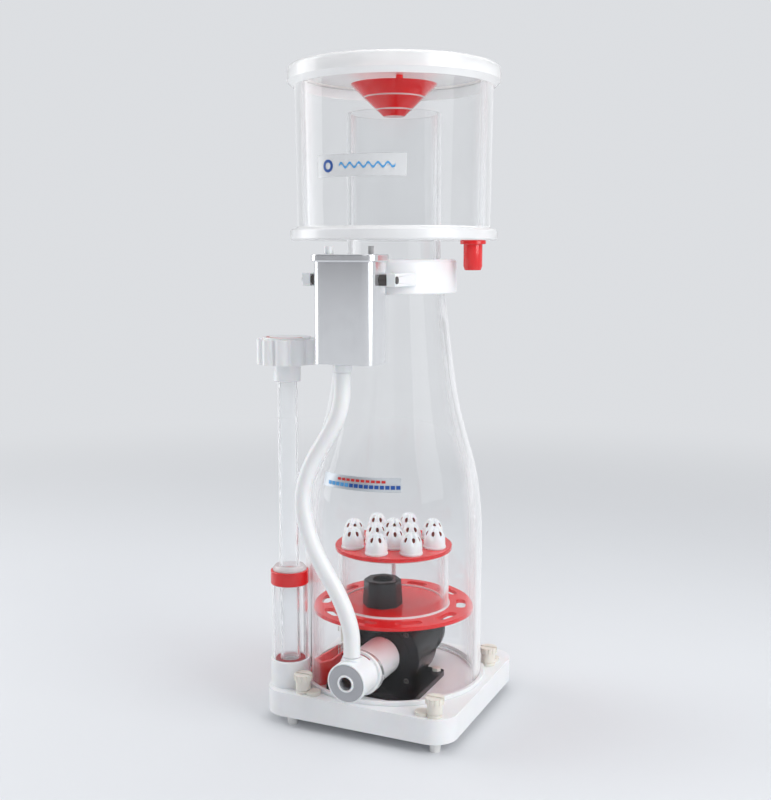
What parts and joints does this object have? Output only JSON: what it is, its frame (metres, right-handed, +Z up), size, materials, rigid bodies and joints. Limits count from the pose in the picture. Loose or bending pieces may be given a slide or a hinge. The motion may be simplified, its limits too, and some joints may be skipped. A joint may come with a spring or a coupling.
{
  "type": "protein skimmer",
  "caption": "Upright in-sump protein skimmer: flared clear chamber, lift-off foam cup with lid, needle-wheel pump, bubble plate, air silencer and turn-knob water level pipe.",
  "frame": {"origin": "centre of the bounding box in plan, at the underside of the feet", "axes": "+Z up along the chamber axis; the water intake and the silencer face -Y; the level knob is at -X"},
  "size_m": [0.1598, 0.1674, 0.48],
  "materials": {
    "white_plastic": "gloss",
    "ivory_plastic": "satin",
    "rubber_foot": "matte",
    "clear_acrylic": "clear gloss",
    "frosted_acrylic": "frosted",
    "red_acrylic": "clear gloss",
    "red_plastic": "gloss",
    "label_silver": "satin",
    "label_grey": "satin",
    "rubber_seal": "matte",
    "dark_red_rubber": "satin",
    "grey_foam": "matte",
    "grey_plastic": "satin",
    "light_grey_plastic": "satin",
    "dark_plastic": "satin",
    "white_rubber": "satin",
    "black_plastic": "satin",
    "ceramic": "gloss"
  },
  "bodies": {
    "skimmer": {"base_plate": "white_plastic", "feet": "rubber_foot", "screw_tabs": "ivory_plastic", "chamber_ring": "white_plastic", "chamber": "clear_acrylic", "neck_collar": "white_plastic", "level_label": "label_silver", "silencer_box": "white_plastic", "silencer_cap": "white_plastic", "silencer_foam": "grey_foam", "air_nipple": "white_plastic", "silencer_barb": "white_plastic", "silencer_bracket": "white_plastic", "air_hose": "white_rubber", "intake_tube": "white_plastic", "intake_cap": "light_grey_plastic", "intake_barb": "white_plastic", "intake_seal": "white_rubber", "pump_volute": "black_plastic", "pump_motor": "black_plastic", "pump_foot": "black_plastic", "foot_screws": "ivory_plastic", "pump_shaft": "ceramic", "shaft_bushes": "ceramic", "pump_outlet": "black_plastic", "cable_gland": "rubber_seal", "lower_disc": "red_acrylic", "diffuser_tube": "clear_acrylic", "upper_disc": "red_acrylic", "nozzles": "white_plastic", "centre_rod": "white_plastic", "outlet_socket": "white_plastic", "outlet_pipe": "clear_acrylic", "outlet_ring": "red_plastic", "ring_cap": "frosted_acrylic", "outlet_duct": "red_acrylic"},
    "cup": {"riser_tube": "clear_acrylic", "neck_seal": "rubber_seal", "cup_floor": "frosted_acrylic", "cup_wall": "clear_acrylic", "drain_nipple": "red_plastic", "cup_label": "label_grey"},
    "lid": {"lid": "frosted_acrylic", "lid_seal": "rubber_foot", "lid_cone": "red_acrylic", "cone_rings": "frosted_acrylic"},
    "level_tube": {"level_tube": "clear_acrylic", "level_piston": "dark_red_rubber"},
    "level_knob": {"level_knob": "white_plastic", "knob_mark": "red_plastic", "level_collar": "white_plastic"},
    "rotor": {"impeller": "white_plastic", "rotor_magnet": "dark_plastic"},
    "air_screw": {"air_screw": "grey_plastic"},
    "clamp_screw_left": {"clamp_screw_left": "dark_plastic"},
    "clamp_screw_right": {"clamp_screw_right": "dark_plastic"},
    "thumb_screw_fl": {"thumb_screw_fl": "ivory_plastic"},
    "thumb_screw_fr": {"thumb_screw_fr": "ivory_plastic"},
    "thumb_screw_bl": {"thumb_screw_bl": "ivory_plastic"},
    "thumb_screw_br": {"thumb_screw_br": "ivory_plastic"}
  },
  "joints": [
    {"name": "cup_lift", "type": "slide", "parent": "skimmer", "child": "cup", "axis": [0, 0, 1], "range_m": [0, 0.05]},
    {"name": "lid_lift", "type": "slide", "parent": "cup", "child": "lid", "axis": [0, 0, 1], "range_m": [0, 0.05]},
    {"name": "level_slide", "type": "slide", "parent": "skimmer", "child": "level_tube", "axis": [0, 0, 1], "range_m": [0, 0.036]},
    {"name": "knob_turn", "type": "hinge", "parent": "level_tube", "child": "level_knob", "pos_m": [-0.0579, -0.04815, 0.277], "axis": [0, 0, 1], "range_deg": [0, 720]},
    {"name": "rotor_spin", "type": "hinge", "parent": "skimmer", "child": "rotor", "pos_m": [0.0056, 0.01635, 0.0478], "axis": [0, 1, 0], "continuous": true},
    {"name": "air_screw_turn", "type": "hinge", "parent": "skimmer", "child": "air_screw", "pos_m": [0.0158, -0.06165, 0.349], "axis": [0, 0, 1], "range_deg": [0, 360]},
    {"name": "clamp_left_turn", "type": "hinge", "parent": "skimmer", "child": "clamp_screw_left", "pos_m": [-0.0274, -0.06165, 0.329], "axis": [1, 0, 0], "range_deg": [0, 360]},
    {"name": "clamp_right_turn", "type": "hinge", "parent": "skimmer", "child": "clamp_screw_right", "pos_m": [0.0276, -0.06165, 0.329], "axis": [1, 0, 0], "range_deg": [0, 360]},
    {"name": "thumb_fl_turn", "type": "hinge", "parent": "skimmer", "child": "thumb_screw_fl", "pos_m": [-0.0399, -0.06165, 0.03], "axis": [0, 0, 1], "range_deg": [0, 90]},
    {"name": "thumb_fr_turn", "type": "hinge", "parent": "skimmer", "child": "thumb_screw_fr", "pos_m": [0.0644, -0.06135, 0.03], "axis": [0, 0, 1], "range_deg": [0, 90]},
    {"name": "thumb_bl_turn", "type": "hinge", "parent": "skimmer", "child": "thumb_screw_bl", "pos_m": [-0.0609, 0.04735, 0.03], "axis": [0, 0, 1], "range_deg": [0, 90]},
    {"name": "thumb_br_turn", "type": "hinge", "parent": "skimmer", "child": "thumb_screw_br", "pos_m": [0.0661, 0.04735, 0.03], "axis": [0, 0, 1], "range_deg": [0, 90]}
  ],
  "couplings": [
    {"joint": "knob_turn", "follows": "level_slide", "rad_per_m": 349.07}
  ]
}
